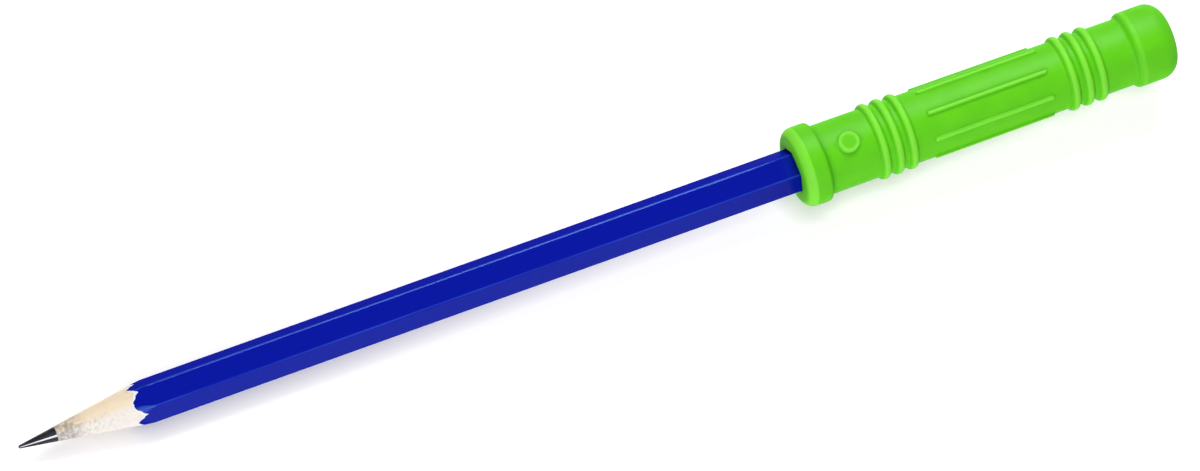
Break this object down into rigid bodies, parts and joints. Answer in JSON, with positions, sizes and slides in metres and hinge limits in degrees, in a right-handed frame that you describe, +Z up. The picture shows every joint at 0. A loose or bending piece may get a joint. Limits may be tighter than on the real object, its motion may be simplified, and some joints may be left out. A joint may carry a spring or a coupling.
{
  "type": "pencil with chewable topper",
  "caption": "Sharpened hexagonal blue wood pencil with a soft lime-green chewable topper: a collared, ringed and ridged handle with a rounded knob, pushed on over the pencil's sawn end.",
  "frame": {"origin": "under the middle of the overall length, on the surface the collar rests on", "axes": "+X along the pencil's axis from the point to the topper's rounded end, +Z up through the topper's thumb boss and one flat of the pencil"},
  "size_m": [0.214, 0.0142, 0.0142],
  "materials": {
    "wood": "bare, cut smooth",
    "graphite": "burnished",
    "undercoat": "satin",
    "lacquer": "gloss",
    "topper": "matte"
  },
  "bodies": {
    "pencil": {"upper_wood_slat": "wood", "lower_wood_slat": "wood", "graphite_lead": "graphite", "white_undercoat": "undercoat", "blue_lacquer": "lacquer"},
    "topper": {"chew_topper": "topper"}
  },
  "joints": [
    {"name": "topper_slide", "type": "slide", "parent": "pencil", "child": "topper", "axis": [1, 0, 0], "range_m": [0, 0.04]}
  ]
}
